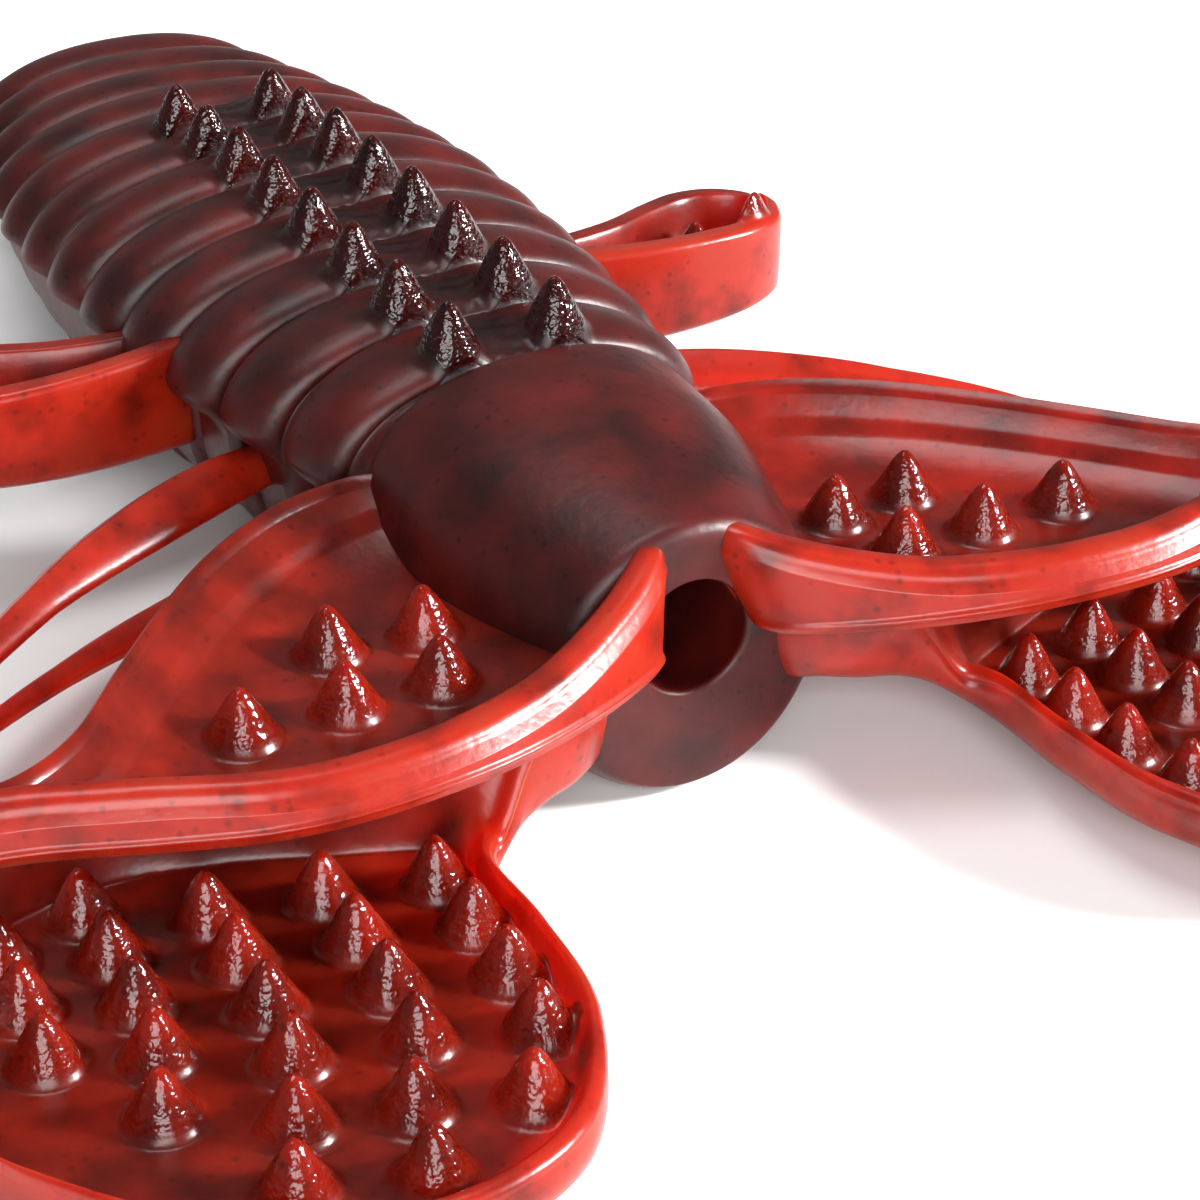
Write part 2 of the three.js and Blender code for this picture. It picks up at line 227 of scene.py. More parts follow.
def skin(name, points, material):
    """A closed mesh over points[i, j] in millimetres: it joins up along j, and comes to one point at
    the first and last i, which is the mean of that row. Rows run so that the faces look outwards.
    A fourth number at each point, from 0 to 1, is how toothed the surface is there and how far
    its colour is darkened as painted shade."""
    rows, columns = points.shape[:2]
    tooth_and_shade = np.zeros(rows * columns + 2, np.float32)
    if points.shape[2] == 4:
        tooth_and_shade[:-2] = points[:, :, 3].ravel()
        points = points[:, :, :3]
    ends = np.array([points[0].mean(0), points[-1].mean(0)])
    cloud = np.concatenate([points.reshape(-1, 3), ends])
    cloud[:, 1] -= FACE_BACK
    cloud *= 0.001
    row, column = np.meshgrid(np.arange(rows - 1), np.arange(columns), indexing="ij")
    beside = (column + 1) % columns
    quads = np.stack(
        [
            row * columns + column,
            (row + 1) * columns + column,
            (row + 1) * columns + beside,
            row * columns + beside,
        ],
        axis=-1,
    ).reshape(-1, 4)
    j = np.arange(columns)
    k = (j + 1) % columns
    first, last = rows * columns, rows * columns + 1
    start = (rows - 1) * columns
    fans = np.concatenate(
        [
            np.stack([np.full(columns, first), j, k], axis=-1),
            np.stack([np.full(columns, last), start + k, start + j], axis=-1),
        ]
    )
    loops = np.concatenate([quads.ravel(), fans.ravel()]).astype(np.int32)
    sizes = np.concatenate([np.full(len(quads), 4), np.full(len(fans), 3)]).astype(np.int32)
    mesh = bpy.data.meshes.new(name)
    mesh.vertices.add(len(cloud))
    mesh.vertices.foreach_set("co", cloud.astype(np.float32).ravel())
    mesh.loops.add(len(loops))
    mesh.loops.foreach_set("vertex_index", loops)
    mesh.polygons.add(len(sizes))
    mesh.polygons.foreach_set("loop_start", (np.cumsum(sizes) - sizes).astype(np.int32))
    mesh.polygons.foreach_set("loop_total", sizes)
    mesh.update(calc_edges=True)
    mesh.validate()
    mesh.polygons.foreach_set("use_smooth", np.ones(len(sizes), bool))
    marks = mesh.attributes.new("tooth_and_shade", "FLOAT", "POINT")
    marks.data.foreach_set("value", tooth_and_shade)
    mesh.materials.append(material)
    piece = bpy.data.objects.new(name, mesh)
    bpy.context.scene.collection.objects.link(piece)
    return piece


def plastisol(name, clear, haze, sheen, grain, fleck):
    """Translucent red plastisol. Light that gets in is soaked up on its way, blue and green within a
    clear is the share of light that goes straight through, haze the colour of what is scattered
    instead, sheen the roughness of the surface, grain the height of its fine bumps in metres, and
    fleck the strength of the dark specks. Painted shade darkens the colour on a web, the rib channel
    and the cones, whose tooth_and_shade marks reach WEB_SHADE_MARK or more. Where the mark is 1, as
    on the cones, the surface is also glossier and covered in fine pricks, so that it sparkles."""
    material = bpy.data.materials.new(name)
    material.use_nodes = True
    tree = material.node_tree
    nodes, links = tree.nodes, tree.links
    shader = nodes["Principled BSDF"]
    place = nodes.new("ShaderNodeTexCoord")
    mark = nodes.new("ShaderNodeAttribute")
    mark.attribute_name = "tooth_and_shade"

    def noise(scale, detail):
        pattern = nodes.new("ShaderNodeTexNoise")
        pattern.inputs["Scale"].default_value = scale
        pattern.inputs["Detail"].default_value = detail
        links.new(place.outputs["Object"], pattern.inputs["Vector"])
        return pattern.outputs["Fac"]

    def span(value, low, high, start=0.0, stop=1.0):
        mapped = nodes.new("ShaderNodeMapRange")
        mapped.inputs["From Min"].default_value = start
        mapped.inputs["From Max"].default_value = stop
        mapped.inputs["To Min"].default_value = low
        mapped.inputs["To Max"].default_value = high
        links.new(value, mapped.inputs["Value"])
        return mapped.outputs["Result"]

    def product(a, b):
        times = nodes.new("ShaderNodeMath")
        times.operation = "MULTIPLY"
        links.new(a, times.inputs[0])
        links.new(b, times.inputs[1])
        return times.outputs["Value"]

    specks = nodes.new("ShaderNodeTexVoronoi")
    specks.inputs["Scale"].default_value = 2300.0
    links.new(place.outputs["Object"], specks.inputs["Vector"])
    chance = nodes.new("ShaderNodeSeparateColor")
    links.new(specks.outputs["Color"], chance.inputs["Color"])
    rare = span(chance.outputs["Red"], 1.0, 0.0, 0.80, 0.86)
    dot = span(specks.outputs["Distance"], 1.0 - fleck, 1.0, 0.12, 0.36)
    veiled = nodes.new("ShaderNodeMath")
    veiled.operation = "MAXIMUM"
    links.new(rare, veiled.inputs[0])
    links.new(dot, veiled.inputs[1])
    cloud = span(noise(420.0, 5.0), 0.40, 1.55, 0.30, 0.70)
    # Painted shade: the colour falls to 0.42 of its tone as the mark rises to WEB_SHADE_MARK, on the
    # webs, the rib channel and the cones.
    painted_shade = span(mark.outputs["Fac"], 1.0, 0.42, 0.0, WEB_SHADE_MARK)
    tone = product(product(veiled.outputs["Value"], cloud), painted_shade)
    tint = nodes.new("ShaderNodeVectorMath")
    tint.operation = "SCALE"
    tint.inputs[0].default_value = haze
    links.new(tone, tint.inputs["Scale"])
    links.new(tint.outputs["Vector"], shader.inputs["Base Color"])

    pricks = product(noise(5200.0, 1.0), span(mark.outputs["Fac"], 0.0, 2.6, 0.5, 1.0))
    total = nodes.new("ShaderNodeMath")
    total.operation = "ADD"
    links.new(noise(2600.0, 4.0), total.inputs[0])
    links.new(pricks, total.inputs[1])
    fine = total.outputs["Value"]
    bump = nodes.new("ShaderNodeBump")
    bump.inputs["Strength"].default_value = 1.0
    bump.inputs["Distance"].default_value = grain
    links.new(fine, bump.inputs["Height"])
    links.new(bump.outputs["Normal"], shader.inputs["Normal"])
    links.new(span(mark.outputs["Fac"], sheen, 0.13, 0.5, 1.0), shader.inputs["Roughness"])

    shader.inputs["IOR"].default_value = 1.45
    shader.inputs["Specular IOR Level"].default_value = 0.27
    shader.inputs["Transmission Weight"].default_value = clear
    shader.inputs["Subsurface Weight"].default_value = 1.0
    shader.inputs["Subsurface Radius"].default_value = (1.0, 0.16, 0.07)
    shader.inputs["Subsurface Scale"].default_value = 0.0016
    soak = nodes.new("ShaderNodeVolumeAbsorption")
    soak.inputs["Color"].default_value = (0.80, 0.08, 0.03, 1.0)
    soak.inputs["Density"].default_value = 4200.0
    links.new(soak.outputs["Volume"], nodes["Material Output"].inputs["Volume"])
    return material


# The thick copy's dark haze is painted shade for the light that the thick body soaks up; its volume
# absorption is the same as the thin copy's.
thick_plastisol_painted_shade = plastisol("thick plastisol with painted shade", 0.72, (0.17, 0.009, 0.007), 0.40, 0.000020, 0.6)


def head():
    """Rows from the pole of the pocket's floor, out along its wall and over the face, then back over
    the dome to a rounded rear edge and a short neck that runs into the first rib."""
    angle = np.linspace(0.0, 2.0 * np.pi, AROUND, endpoint=False)
    rows = []

    def circle(radius, middle, y):
        rows.append(
            np.stack(
                [radius * np.cos(angle), np.full(AROUND, y), middle + radius * np.sin(angle)], -1
            )
        )

    for share in (0.15, 0.5, 0.8):
        circle(POCKET_RADIUS * share, POCKET_MIDDLE, POCKET_DEPTH)
    for turn in np.linspace(0.0, np.pi / 2, 5):
        inset = 0.3 * (1 - math.sin(turn))
        circle(POCKET_RADIUS - inset, POCKET_MIDDLE, POCKET_DEPTH - 0.3 + 0.3 * math.cos(turn))
    for y in np.linspace(POCKET_DEPTH - 0.6, POCKET_LIP + 0.15, 22):
        circle(POCKET_RADIUS, POCKET_MIDDLE, y)
    for turn in np.linspace(0.0, np.pi / 2, 7):
        outset = POCKET_LIP * (1 - math.cos(turn))
        circle(POCKET_RADIUS + outset, POCKET_MIDDLE, POCKET_LIP * (1 - math.sin(turn)))
    for share in np.linspace(0.06, 1.0, 14):
        radius = between(POCKET_RADIUS + POCKET_LIP, FACE_RADIUS - FACE_EDGE, share)
        circle(radius, between(POCKET_MIDDLE, FACE_MIDDLE, share), 0.0)

    def dome_row(y, shrink):
        part = np.clip(y / DOME_END, 0.0, 1.0)
        spread = math.sin(min(1.0, y / 8.0) * math.pi / 2)
        half = between(FACE_RADIUS, DOME_HALF, spread)
        top = between(FACE_MIDDLE + FACE_RADIUS, DOME_TOP, math.sin(part * math.pi / 2))
        widest = between(FACE_MIDDLE, DOME_WIDEST, part)
        square = between(2.0, DOME_SQUARE, min(1.0, part * 1.6))
        belly = between(2.0, BELLY_SQUARE, min(1.0, part * 1.6))
        floor = between(FACE_MIDDLE - FACE_RADIUS, 0.0, spread)
        x, z = section(angle, half * shrink, widest + (top - widest) * shrink, widest, square, belly,
                       widest - (widest - floor) * (1 - (1 - shrink) * 0.4))
        rows.append(np.stack([x, np.full(AROUND, y), z], -1))

    for turn in np.linspace(0.0, np.pi / 2, 9)[1:]:
        y = FACE_EDGE * (1 - math.cos(turn))
        shrink = (FACE_RADIUS - FACE_EDGE * (1 - math.sin(turn))) / FACE_RADIUS
        dome_row(y, shrink)
    for y in np.linspace(FACE_EDGE, DOME_END - 1.0, 90)[1:]:
        dome_row(y, 1.0)
    for turn in np.linspace(0.0, np.pi / 2, 14)[1:]:
        dome_row(DOME_END - 1.0 + math.sin(turn), 1.0 - 0.16 * (1 - math.cos(turn)))
    for share in np.linspace(0.0, 1.0, 6)[1:]:
        dome_row(DOME_END + share * 0.9, 0.84 - 0.05 * share)
    dome_row(DOME_END + 1.0, 0.5)
    points = np.array(rows)
    return skin("head", points, thick_plastisol_painted_shade)


head_piece = head()
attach(head_piece, "head")
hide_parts("face_end", "carapace")

# ---- Ribs ---------------------------------------------------------------------------------------
# Twelve round ribs behind the dome, each a little shorter than the one before. They stand out over
# the back and die away half way down the flank. The first eight carry two cones each.
RIBS = 12
RIB_START = 12.3
RIB_PITCH = 4.08
PITCH_SHARE = 0.97
RIB_HALF = 7.94
RIB_TOP = 11.5
RIB_WIDEST = 6.9
RIB_SQUARE = 2.25
RIB_GROOVE = 0.84  # size of the section at the bottom of a groove
RIB_FOOT = 6.4  # the ribs die away between this height and RIB_FULL
RIB_FULL = 8.0
RIB_ROWS = 84
CONE_RIBS = 8
CONE_X = 2.08
CONE_AHEAD = 1.1  # the cones stand this far in front of the crest
CONE_RADIUS = 1.3
CONE_RISE = 1.85
CHANNEL_HALF = 1.5  # half width of the rough channel between the two rows of cones
CHANNEL_DEPTH = 0.35


def cone_height(distance, radius, rise):
    """A cone with a blunt tip and a slightly hollow flank. With s the distance over the radius and e
    the bluntness, it is rise times g^1.2, where g falls from 1 at the tip to 0 at the foot along
    the blunted line sqrt(1 + e^2) - sqrt(s^2 + e^2)."""
    blunt = 0.34
    s = np.clip(distance / radius, 0.0, 1.0)
    reach = math.sqrt(1 + blunt * blunt)
    g = (reach - np.sqrt(s * s + blunt * blunt)) / (reach - blunt)
    return rise * np.clip(g, 0.0, 1.0) ** 1.2


def rib(n):
    """Rib n. The section shrinks by a half circle from crest to groove, over the back only, and the
    cones lift its points straight up. Between the cones runs a shallow rough channel."""
    start = RIB_START + sum(RIB_PITCH * PITCH_SHARE**k for k in range(n))
    pitch = RIB_PITCH * PITCH_SHARE**n
    half = RIB_HALF * (1 + 0.11 * n - 0.0105 * n * n)
    top = RIB_TOP + 0.09 * min(n, 5) - 0.16 * max(0, n - 5)
    angle = np.linspace(0.0, 2.0 * np.pi, AROUND, endpoint=False)[None, :]
    turn = np.linspace(-np.pi / 2, np.pi / 2, RIB_ROWS)[:, None]
    y = start + pitch / 2 * (1 + np.sin(turn))
    lobe = np.abs(np.cos(turn)) ** 0.9
    flat_x, flat_z = section(angle, half, top, RIB_WIDEST, RIB_SQUARE, BELLY_SQUARE, 0.0)
    over = ease((flat_z - RIB_FOOT) / (RIB_FULL - RIB_FOOT))
    shrink = RIB_GROOVE + (1 - RIB_GROOVE) * lobe * over
    x = flat_x * shrink
    z = np.where(flat_z > RIB_WIDEST, RIB_WIDEST + (flat_z - RIB_WIDEST) * shrink, flat_z)
    y = y + 0.0 * x
    tooth_and_shade = 0.0 * x
    if n < CONE_RIBS:
        upward = ease((flat_z - RIB_WIDEST - 1.0) / 1.5)
        channel = np.exp(-((x / CHANNEL_HALF) ** 4)) * upward
        ripple = np.sin(5.1 * x + 2.3 * y) * np.sin(4.3 * y - 3.1 * x) + np.sin(9.7 * x - 7.9 * y) / 2
        z = z - channel * (CHANNEL_DEPTH * lobe + 0.05 * ripple)
        # The channel's mark of 0.35 also darkens its colour, as painted shade in the groove.
        tooth_and_shade = tooth_and_shade + 0.35 * channel
        ahead = start + pitch / 2 - CONE_AHEAD
        for side in (-1, 1):
            lift = cone_height(np.hypot(x - side * CONE_X, y - ahead), CONE_RADIUS, CONE_RISE)
            z = z + lift * upward
            # The cones' mark makes them glossy and pricked, and also darkens them as painted shade.
            tooth_and_shade = np.maximum(tooth_and_shade, ease(lift / 0.5) * upward)
    lengths = [(-1.1, 0.55), (-0.9, 0.8), (-0.3, 0.83)]
    before = [neck_row(start + d, s, flat_x, flat_z) for d, s in lengths]
    after = [neck_row(start + pitch - d, s, flat_x, flat_z) for d, s in reversed(lengths)]
    body = np.stack([x, y, z, tooth_and_shade], -1)
    return skin(f"rib_{n + 1:02d}", np.concatenate([before, body, after]), thick_plastisol_painted_shade)


def neck_row(y, shrink, flat_x, flat_z):
    """One row of the neck that runs on inside the next rib."""
    lower = 0.5 + shrink / 2
    z = RIB_WIDEST + (flat_z[0] - RIB_WIDEST) * np.where(flat_z[0] > RIB_WIDEST, shrink, lower)
    still = np.zeros(flat_x.shape[1])
    return np.stack([flat_x[0] * shrink, still + y, z, still], -1)


for n in range(RIBS):
    rib_piece = rib(n)
    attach(rib_piece, "head" if n == 0 else f"segment_{n + 1:02d}")
    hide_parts(f"ring_{n + 1:02d}")

# ---- Tail tip -----------------------------------------------------------------------------------
# The end of the tail: three low ridges that shrink to a rounded end.
TAIL_HALF = 6.6
TAIL_TOP = 10.4
TAIL_LENGTH = 10.6


def tail():
    """The section shrinks along the length as the square root towards a round end, with three
    ridges of falling height on it."""
    start = RIB_START + sum(RIB_PITCH * PITCH_SHARE**k for k in range(RIBS))
    angle = np.linspace(0.0, 2.0 * np.pi, AROUND, endpoint=False)
    rows = []
    for t in np.concatenate([[-0.09, -0.05, -0.01], np.linspace(0.0, 1.0, 120) ** 0.95]):
        taper = math.sqrt(max(0.0, 1.0 - max(0.0, t) ** 2.4)) * 0.97 + 0.02
        ridge = 0.09 * abs(math.sin(math.pi * min(1.0, max(0.0, t)) * 3.6)) ** 0.8 * (1 - max(0.0, t))
        shrink = taper * (0.86 + ridge) if t >= 0.0 else 0.80 + 3.0 * (t + 0.01)
        top = between(TAIL_TOP, 7.5, max(0.0, t))
        widest = between(6.4, 5.0, max(0.0, t))
        floor = 12.0 * max(0.0, t - 0.5) ** 2
        x, z = section(angle, TAIL_HALF, top, widest, 2.1, BELLY_SQUARE, min(floor, widest - 1.0))
        rows.append(np.stack([x * shrink, np.full(AROUND, start + TAIL_LENGTH * t),
                              widest + (z - widest) * (0.3 + 0.7 * shrink)], -1))
    return skin("tail_end", np.array(rows), thick_plastisol_painted_shade)


tail_piece = tail()
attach(tail_piece, "tail")
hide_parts("tail_tip")

# ---- Claws --------------------------------------------------------------------------------------
# Two broad leaves that open from the upper corners of the face and the sides of the dome. Each is a
# thin web with a high rim in front, a dished rear edge, and five cones standing on the web.
CLAW_ROWS = 300
CLAW_FRONT = [
    (0.0, 0.4), (0.6, -0.5), (2.2, -2.0), (5.6, -4.0), (9.4, -5.5), (13.0, -6.0), (16.4, -5.7),
    (19.6, -4.6), (22.6, -3.4), (24.8, -2.8), (25.7, -2.4), (26.0, -1.6),
]
CLAW_REAR = [
    (4.6, 10.6), (5.6, 11.2), (7.4, 11.6), (10.2, 10.9), (13.2, 8.9), (15.8, 6.3), (18.2, 3.5),
    (20.4, 0.9), (22.4, -0.4), (24.4, -0.7), (25.5, -0.9), (26.0, -1.6),
]
CLAW_CONES = [(10.85, 4.23), (7.75, 3.8), (11.76, 0.81), (8.58, 0.76), (15.11, 0.91)]
# The thin copy's bright haze is a painted glow for the light that passes through the thin parts.
thin_plastisol_painted_glow = plastisol("thin plastisol with painted glow", 0.70, (0.95, 0.045, 0.015), 0.28, 0.000014, 0.4)


def smooth_line(points, at):
    """Points of a Catmull-Rom curve through the given ones, at shares of its count of knots."""
    p = np.array(points, float)
    p = np.concatenate([[2 * p[0] - p[1]], p, [2 * p[-1] - p[-2]]])
    at = at * (len(points) - 1.0)
    i = np.minimum(at.astype(int), len(points) - 2)
    t = (at - i)[:, None]
    a, b, c, d = p[i], p[i + 1], p[i + 2], p[i + 3]
    return 0.5 * (2 * b + (c - a) * t + (2 * a - 5 * b + 4 * c - d) * t**2
                  + (3 * b - a - 3 * c + d) * t**3)


def leaf(front, rear, rows, form, cones, rear_rim):
    """A leaf between two edges that run from the root to the tip, with its rows closer together
    towards the tip. At each row form(u, width) gives the loop of the section as distances from
    the front edge and heights, starting on the top at the front, and the number of points that
    lie on the top, which the cones lift. The tooth_and_shade mark is WEB_SHADE_MARK, a painted
    shade, on the web between the front rim and rear_rim, the width of the rear one, and rises to 1
    on the cones, where it also darkens the colour as painted shade."""
    u = 1.0 - (1.0 - np.linspace(0.0, 1.0, rows)) ** 1.35
    near, far = smooth_line(front, u), smooth_line(rear, u)
    across = far - near
    width = np.hypot(across[:, 0], across[:, 1])[:, None]
    across = across / np.maximum(width, 1e-6)
    reach, height, top_count = form(u[:, None], width)
    x = near[:, :1] + across[:, :1] * reach
    y = near[:, 1:] + across[:, 1:] * reach
    # On the web the mark is WEB_SHADE_MARK, which darkens its colour as painted shade.
    tooth_and_shade = WEB_SHADE_MARK * ease((reach - 0.9) / 1.3) * ease(1.0 + width - reach - rear_rim)
    for cone_x, cone_y, radius, rise in cones:
        away = np.hypot(x[:, :top_count] - cone_x, y[:, :top_count] - cone_y)
        lift = cone_height(away, radius, rise)
        height[:, :top_count] += lift
        # On the cones it rises to 1, which also darkens them as painted shade.
        tooth_and_shade[:, :top_count] = np.maximum(tooth_and_shade[:, :top_count], ease(lift / 0.5))
    return np.stack([x, y, height, tooth_and_shade], -1)


def arc(count, start, stop):
    """Angles from start to stop, ends left out, for the rounding of a corner."""
    return np.linspace(start, stop, count + 2)[None, 1:-1]


def loop(width, *parts):
    """One closed section from its parts, each a pair of distances and heights."""
    parts = [np.broadcast_arrays(a + 0.0 * width, b + 0.0 * width) for a, b in parts]
    reach = np.concatenate([a for a, _ in parts], 1)
    height = np.concatenate([b for _, b in parts], 1)
    return np.clip(reach, 0.0, width), height


def claw_form(u, width):
    """The section of a claw. Over the top: a rim with a round edge, a steep fall to the web, and a
    parabola up to the rear edge with a faint step in it. The front wall is widest at the parting
    line, low on it, and falls away above and below."""
    near_root = 1 - ease((u - 0.10) / 0.22)
    set_back = 0.57  # the rim stands this far behind the edge line
    shoulder = 0.5 * (1 - ease(u / 0.14))  # it rises out of the face with a round shoulder
    front_top = 8.25 + 1.3 * near_root - shoulder + 0.35 * ease((u - 0.45) / 0.2)
    rear_top = 8.6 - 0.3 * u
    web = 6.2 + 0.5 * near_root
    under = 5.45 + 0.3 * near_root
    lip = between(0.2, 1.2, ease((u - 0.08) / 0.35))  # the front is hollowed from below
    corner = np.minimum(0.7, width * 0.45)
    rim, foot, dish = 1.0, 2.6, 5.5
    top_count = 170
    share = np.linspace(0.0, 1.0, top_count)[None, :]
    reach = corner + (width - 2 * corner) * share
    fall = 1 - ease((reach - rim) / (foot - rim))
    behind = width - reach
    rise = 0.9 * np.clip(1 - behind / dish, 0.0, 1.0) ** 2 + 0.1 * (1 - ease((behind - 1.6) / 0.7))
    top = web + (front_top - web) * fall + (rear_top - web) * rise * (1 - fall)
    turn = arc(5, 0.0, np.pi / 2)
    rear_edge = (width - corner + corner * np.sin(turn), rear_top - corner + corner * np.cos(turn))
    wall = np.linspace(0.0, 1.0, 8)[None, :]
    rear_low = under + (rear_top - web) * 0.8 * np.clip(width / 6.0, 0.0, 1.0)
    down = (width - 0.15 * wall, between(rear_top - corner, rear_low + 0.2, wall))
    bottom = np.linspace(0.0, 1.0, 48)[None, :]
    low_x = between(width - 0.4, 0.5 + 0.0 * width, bottom)
    lift = np.clip(1 - (width - low_x) / dish, 0.0, 1.0) ** 2
    hollow = lip * np.clip(1 - (low_x - 0.5) / 2.7, 0.0, 1.0)
    low = (low_x, under + (rear_low - under) * lift + hollow)
    seam = under + lip + 0.55 - 0.2 * near_root
    up_z = between(under + lip + 0.2, front_top - corner, np.linspace(0.0, 1.0, 26)[None, :])
    above = np.clip((up_z - seam) / (front_top - seam), -1.0, 1.0)
    up_x = 0.12 + 0.45 * np.where(above > 0, np.maximum(above, 0.0) ** 1.5, above**2 * 0.5)
    up_x = up_x - 0.12 * np.exp(-(((up_z - seam) / 0.10) ** 2))
    over = arc(5, 0.0, np.pi / 2)
    front_edge = (
        set_back + corner * (1 - np.cos(over)),
        front_top - corner + corner * np.sin(over),
    )
    over_top = (reach + set_back * (1 - share), top)
    reach, height = loop(width, over_top, rear_edge, down, low, (up_x, up_z), front_edge)
    return reach, height, top_count


def mirrored(points):
    """The same skin on the other side, with its rows run backwards so that it still looks out."""
    turned = points[:, ::-1].copy()
    turned[:, :, 0] *= -1
    return turned


claw_points = leaf(CLAW_FRONT, CLAW_REAR, CLAW_ROWS, claw_form,
                   [(x, y, 1.3, 1.85) for x, y in CLAW_CONES], 0.0)
root = ease(1 - np.arange(CLAW_ROWS) / (0.16 * CLAW_ROWS))[:, None]
CLAW_LEAN = 0.62  # how far out the root leans below CLAW_LEAN_TOP, clear of the round pocket
CLAW_LEAN_TOP = 9.4
claw_points[:, :, 0] += root * CLAW_LEAN * (CLAW_LEAN_TOP - claw_points[:, :, 2])
for side, points in (("right", claw_points), ("left", mirrored(claw_points))):
    claw = skin(f"{side}_claw", points, thin_plastisol_painted_glow)
    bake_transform(claw)
    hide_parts(f"claw_{side}", f"claw_root_{side}")

# ---- Paddles ------------------------------------------------------------------------------------
# Two wide fans close to the table. Each hangs on a short arm from the lower corner of the face, under
# the claw, and is a web full of cones inside a rim that is high at the rear and low elsewhere.
PADDLE_ROWS = 330
PADDLE_FRONT = [
    (2.4, 0.8), (3.4, -0.6), (5.2, -2.0), (7.6, -2.7), (9.2, -4.0), (9.3, -7.6), (9.9, -12.0),
    (12.6, -16.3), (17.4, -17.5), (22.4, -15.3), (26.0, -11.2), (27.3, -8.4), (27.7, -6.8),
]
PADDLE_REAR = [
    (4.0, 1.4), (5.0, 0.4), (6.6, -0.4), (9.2, -0.4), (11.0, 0.4), (13.8, 1.5), (17.0, 2.8),
    (20.5, 3.6), (24.2, 2.8), (26.8, 0.2), (27.8, -3.4), (27.9, -5.6), (27.7, -6.8),
]
PADDLE_CONES = [
    (10.9, -3.3), (10.9, -5.8), (11.0, -8.4), (11.4, -11.1), (12.9, -13.7), (14.2, -2.3),
    (14.2, -4.8), (14.3, -7.3), (14.6, -9.9), (15.9, -12.5), (17.6, -1.6), (17.6, -4.0),
    (17.7, -6.5), (18.0, -9.0), (19.0, -11.6), (20.8, 0.4), (20.8, -2.0), (20.9, -4.5),
    (21.2, -7.0), (22.0, -9.5), (23.7, -0.6), (23.8, -3.1), (24.0, -5.7), (16.6, -15.2),
    (20.0, -14.0),
]


def paddle_form(u, width):
    """The section of a paddle: near the root a plain round arm, then a web with a low round front rim
    and a high rear one."""
    opened = ease((u - 0.22) / 0.12)
    arm_top, arm_low = 5.85, 2.95
    rear_top = between(arm_top, 4.35, opened) - 0.2 * u
    front_top = between(arm_top, 2.95, ease((u - 0.20) / 0.10))
    web = between(arm_top - 0.5, 1.95, opened)
    under = between(arm_low, 1.1, ease((u - 0.18) / 0.18))
    corner = np.minimum(0.4, width * 0.45)
    top_count = 190
    share = np.linspace(0.0, 1.0, top_count)[None, :]
    reach = corner + (width - 2 * corner) * share
    behind = width - reach
    fall = 1 - ease((reach - 0.5) / 0.8)
    rise = 1 - ease((behind - 0.9) / 1.2)
    top = web + (front_top - web) * fall + (rear_top - web) * rise * (1 - fall)
    turn = arc(5, 0.0, np.pi / 2)
    rear_edge = (width - corner + corner * np.sin(turn), rear_top - corner + corner * np.cos(turn))
    wall = np.linspace(0.0, 1.0, 12)[None, :]
    down = (width - 0.1 * wall, between(rear_top - corner, under + 0.25, wall))
    bottom = np.linspace(0.0, 1.0, 44)[None, :]
    low = (between(width - 0.35, 0.35 + 0.0 * width, bottom), under)
    up = np.linspace(0.0, 1.0, 14)[None, :]
    front_wall = (0.15 * (2 * up - 1) ** 2, between(under + 0.25, front_top - corner, up))
    over = arc(5, 0.0, np.pi / 2)
    front_edge = (corner * (1 - np.cos(over)), front_top - corner + corner * np.sin(over))
    reach, height = loop(width, (reach, top), rear_edge, down, low, front_wall, front_edge)
    return reach, height, top_count


paddle_points = leaf(PADDLE_FRONT, PADDLE_REAR, PADDLE_ROWS, paddle_form,
                     [(x, y, 1.25, 1.85) for x, y in PADDLE_CONES], 1.2)
root = ease(1 - np.arange(PADDLE_ROWS) / (0.10 * PADDLE_ROWS))[:, None]
paddle_points[:, :, 0] += root * 0.25 * (5.85 - paddle_points[:, :, 2])
left_paddle = mirrored(paddle_points)
RIGHT_LIFT = 0.7  # the right paddle lies a little higher, being soft
paddle_points[:, :, 2] += RIGHT_LIFT * (1 - root)
for side, points in (("right", paddle_points), ("left", left_paddle)):
    paddle = skin(f"{side}_paddle", points, thin_plastisol_painted_glow)
    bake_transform(paddle)
    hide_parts(f"paddle_{side}", f"paddle_root_{side}")

# ---- Rear fins ----------------------------------------------------------------------------------
# Two short rounded cups on the sides of the fourth rib, with a high front wall and two cones.
FIN_ROWS = 200
FIN_FRONT = [
    (8.0, 23.6), (10.0, 23.2), (12.5, 22.9), (15.0, 23.0), (16.8, 23.4), (18.1, 24.2), (18.8, 25.4),
    (19.0, 26.6),
]
FIN_REAR = [
    (8.0, 27.2), (10.0, 27.4), (12.0, 27.9), (14.0, 28.8), (15.8, 29.4), (17.4, 29.2), (18.6, 28.2),
    (19.0, 26.6),
]
FIN_CONES = [(13.2, 25.6), (15.6, 26.8), (16.8, 25.0)]


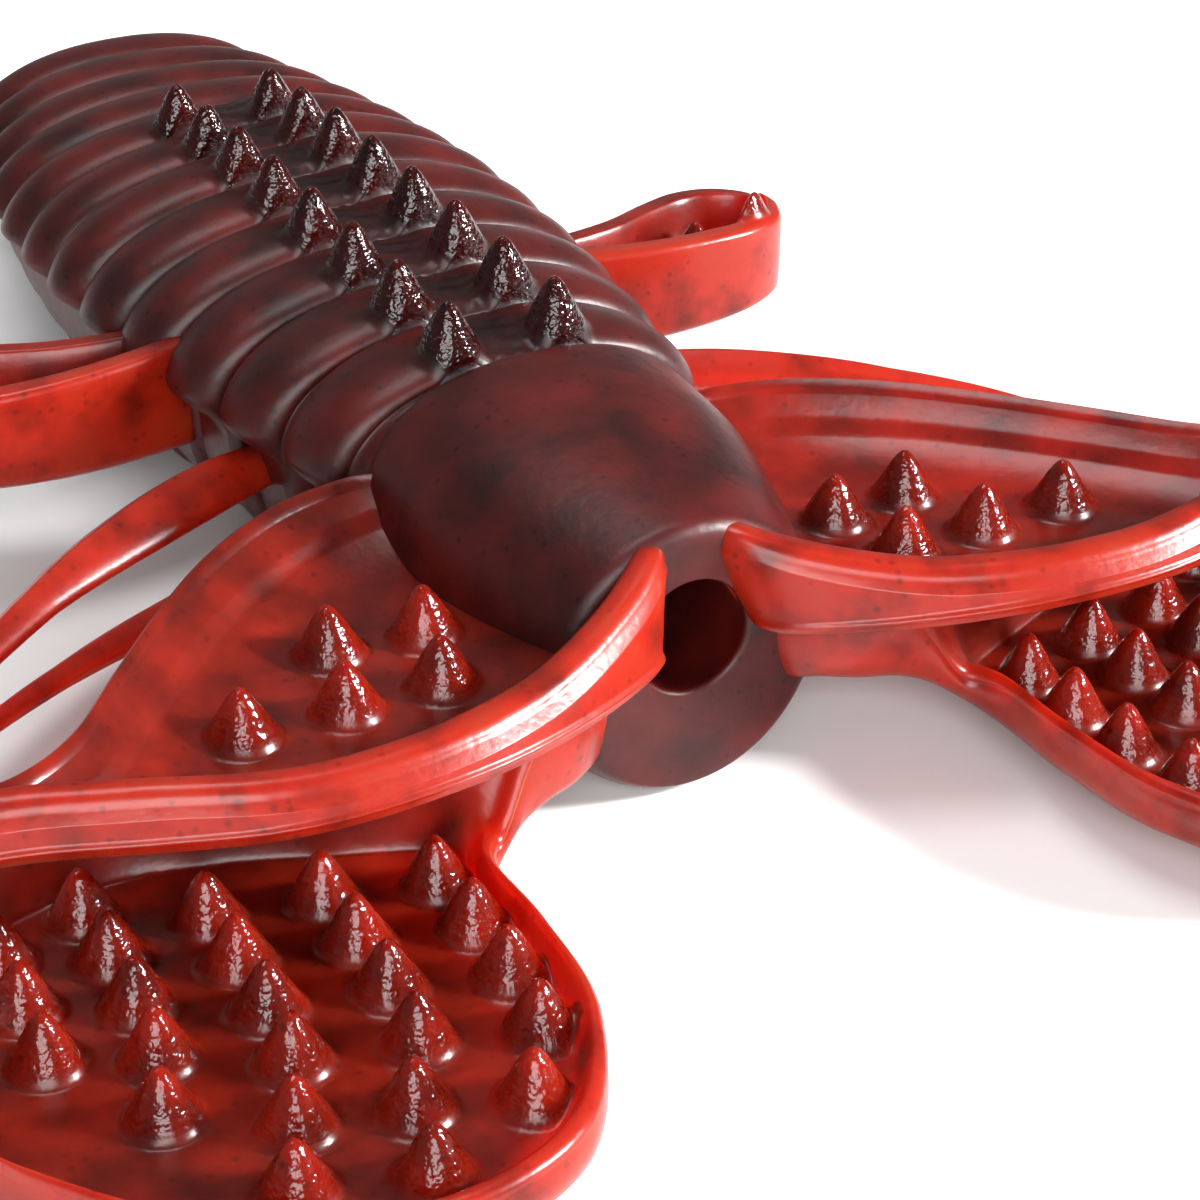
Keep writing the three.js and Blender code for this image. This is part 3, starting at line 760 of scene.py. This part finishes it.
def fin_form(u, width):
    """The section of a rear fin: a high front wall, a web, and a lower rear rim."""
    front_top = 8.9 - 0.6 * u
    rear_top = 8.4 - 0.3 * u
    web = 6.1
    under = between(4.6, 5.1, ease(u))
    corner = np.minimum(0.35, width * 0.45)
    top_count = 90
    share = np.linspace(0.0, 1.0, top_count)[None, :]
    reach = corner + (width - 2 * corner) * share
    fall = 1 - ease((reach - 0.9) / 0.8)
    rise = 1 - ease((width - reach - 0.9) / 0.8)
    top = web + (front_top - web) * fall + (rear_top - web) * rise * (1 - fall)
    turn = arc(5, 0.0, np.pi / 2)
    rear_edge = (width - corner + corner * np.sin(turn), rear_top - corner + corner * np.cos(turn))
    wall = np.linspace(0.0, 1.0, 12)[None, :]
    down = (width - 0.2 * wall, between(rear_top - corner, under + 0.25, wall))
    bottom = np.linspace(0.0, 1.0, 30)[None, :]
    low = (between(width - 0.45, 0.45 + 0.0 * width, bottom), under)
    up = np.linspace(0.0, 1.0, 16)[None, :]
    front_wall = (0.15 * (1 - up) ** 2, between(under + 0.25, front_top - corner, up))
    over = arc(5, 0.0, np.pi / 2)
    front_edge = (corner * (1 - np.cos(over)), front_top - corner + corner * np.sin(over))
    reach, height = loop(width, (reach, top), rear_edge, down, low, front_wall, front_edge)
    return reach, height, top_count


fin_points = leaf(FIN_FRONT, FIN_REAR, FIN_ROWS, fin_form,
                  [(x, y, 1.15, 1.7) for x, y in FIN_CONES], 0.6)
for side, points in (("right", fin_points), ("left", mirrored(fin_points))):
    fin = skin(f"{side}_rear_fin", points, thin_plastisol_painted_glow)
    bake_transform(fin)
    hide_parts(f"rear_fin_{side}")

# ---- Legs ---------------------------------------------------------------------------------------
# Two thin pointed leaves on each side, swept forwards, each folded along its middle.
LEG_ROWS = 140
LEGS = [
    # name, parent body, middle line as (x, y, z), half width, half thickness
    ("rear_leg", "segment_02", [(7.2, 18.9, 5.5), (9.5, 18.3, 5.4), (12.6, 17.0, 5.2),
                                (16.2, 15.1, 4.9), (19.4, 12.8, 4.5), (22.4, 10.2, 4.0)], 1.45, 0.55),
    ("front_leg", "head", [(7.0, 14.7, 3.9), (9.5, 14.4, 3.8), (12.6, 13.6, 3.6),
                           (16.4, 12.3, 3.4), (20.0, 10.7, 3.1), (23.0, 8.8, 2.8)], 0.9, 0.42),
]


def leg_points(middle, half, thick):
    """A leaf along a middle line in space. The section is a flat lens folded into a shallow roof; it
    is widest a third of the way out and comes to a point."""
    line = smooth_line(middle, np.linspace(0.0, 1.0, LEG_ROWS))
    along = np.gradient(line[:, :2], axis=0)
    along /= np.hypot(along[:, 0], along[:, 1])[:, None]
    across = np.stack([-along[:, 1], along[:, 0]], -1)
    u = np.linspace(0.0, 1.0, LEG_ROWS)[:, None]
    wide = half * (0.72 + 0.28 * np.sin(np.pi * np.clip(u / 0.66, 0, 1))) * np.sqrt(
        np.clip(1 - u**2.2, 0.0, 1.0)
    )
    turn = np.linspace(0.0, 2.0 * np.pi, 72, endpoint=False)[None, :]
    reach = -wide * np.cos(turn)
    roof = 0.55 * (1 - np.abs(np.cos(turn))) * wide
    height = line[:, 2:] + np.sin(turn) * thick * np.sqrt(wide / half) + roof
    x = line[:, :1] + across[:, :1] * reach
    y = line[:, 1:2] + across[:, 1:] * reach
    return np.stack([x, y, height], -1)


for name, parent, middle, half, thick in LEGS:
    right_leg = leg_points(middle, half, thick)
    for side, points in (("right", right_leg), ("left", mirrored(right_leg))):
        leg = skin(f"{side}_{name}", points, thin_plastisol_painted_glow)
        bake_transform(leg)
        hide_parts(f"{name}_{side}")
